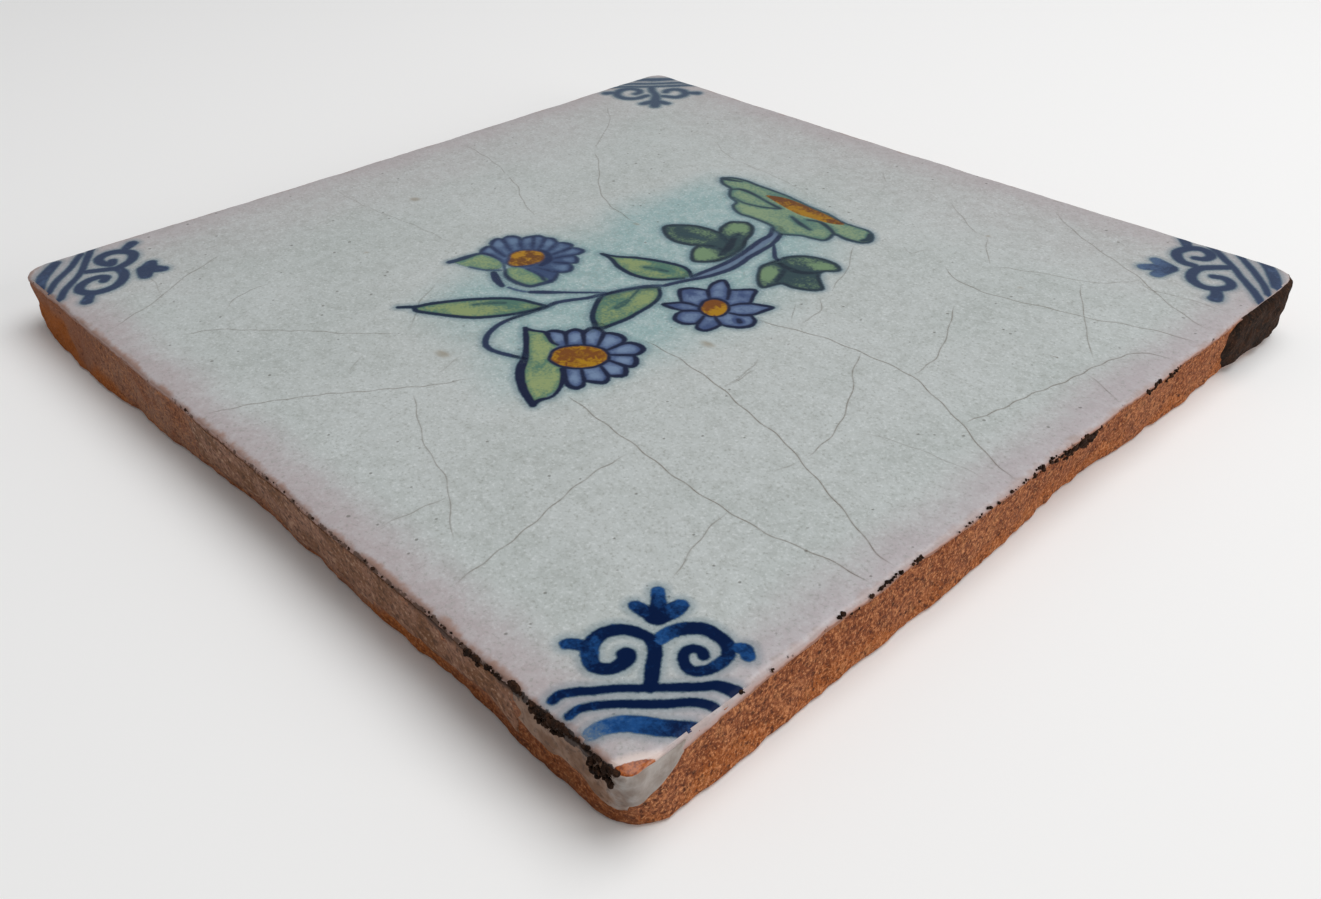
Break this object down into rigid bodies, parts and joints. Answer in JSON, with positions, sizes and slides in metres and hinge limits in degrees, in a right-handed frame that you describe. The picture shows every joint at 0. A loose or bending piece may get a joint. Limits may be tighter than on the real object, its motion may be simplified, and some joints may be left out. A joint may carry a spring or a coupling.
{
  "type": "glazed wall tile",
  "caption": "Square tin-glazed earthenware wall tile, hand painted with scroll corners and a spray of flowers.",
  "frame": {"origin": "middle of the underside, on the plane that the tile lies on", "axes": "+Z out of the glazed face, +Y towards the top of the painted picture, +X to its right"},
  "size_m": [0.1315, 0.1315, 0.0087],
  "materials": {
    "biscuit": "rough, sandy, unglazed",
    "tin_glaze": "semi-gloss, crazed",
    "drip_glaze": "dull gloss, dusty",
    "mortar": "crumbly, matt",
    "dark_cobalt": "fired under gloss",
    "cobalt": "fired under gloss",
    "pale_cobalt": "fired under gloss",
    "leaf_green": "fired under gloss",
    "dark_green": "fired under gloss",
    "ochre": "fired under gloss"
  },
  "bodies": {
    "root": {"biscuit_body": "biscuit", "tin_glaze": "tin_glaze", "glaze_drip": "drip_glaze", "glaze_overrun": "drip_glaze", "mortar_crust": "mortar", "mortar_crumb_bottom_1": "mortar", "mortar_crumb_bottom_2": "mortar", "mortar_crumb_bottom_3": "mortar", "mortar_crumb_right_1": "mortar", "mortar_crumb_right_2": "mortar", "mortar_crumb_right_3": "mortar", "mortar_crumb_right_4": "mortar", "corner_bottom_right_bud": "cobalt", "corner_bottom_right_scrolls": "dark_cobalt", "corner_bottom_right_inner_band": "dark_cobalt", "corner_bottom_right_fill": "cobalt", "corner_top_right_bud": "cobalt", "corner_top_right_scrolls": "dark_cobalt", "corner_top_right_inner_band": "dark_cobalt", "corner_top_right_fill": "cobalt", "corner_top_left_bud": "cobalt", "corner_top_left_scrolls": "dark_cobalt", "corner_top_left_inner_band": "dark_cobalt", "corner_top_left_fill": "cobalt", "corner_bottom_left_bud": "cobalt", "corner_bottom_left_scrolls": "dark_cobalt", "corner_bottom_left_inner_band": "dark_cobalt", "corner_bottom_left_fill": "cobalt", "stem_line": "dark_cobalt", "stem_wash": "pale_cobalt", "left_daisy_stem_dash": "pale_cobalt", "left_leaf_wash": "leaf_green", "left_leaf_line": "dark_cobalt", "left_leaf_vein": "dark_green", "middle_leaf_wash": "leaf_green", "middle_leaf_line": "dark_cobalt", "middle_leaf_vein": "dark_green", "lower_leaf_wash": "leaf_green", "lower_leaf_line": "dark_cobalt", "lower_leaf_vein": "dark_green", "lower_daisy_petals": "pale_cobalt", "lower_daisy_centre": "ochre", "lower_daisy_line": "dark_cobalt", "lower_daisy_cup": "leaf_green", "left_daisy_petals": "cobalt", "left_daisy_centre": "ochre", "left_daisy_line": "dark_cobalt", "left_daisy_cup": "leaf_green", "star_flower_petals": "pale_cobalt", "star_flower_centre": "ochre", "star_flower_line": "dark_cobalt", "top_flower_petals": "leaf_green", "top_flower_centre": "ochre", "top_flower_line": "dark_cobalt", "left_lobed_leaf_wash": "leaf_green", "left_lobed_leaf_shade": "dark_green", "right_lobed_leaf_wash": "leaf_green", "right_lobed_leaf_shade": "dark_green"}
  },
  "joints": []
}
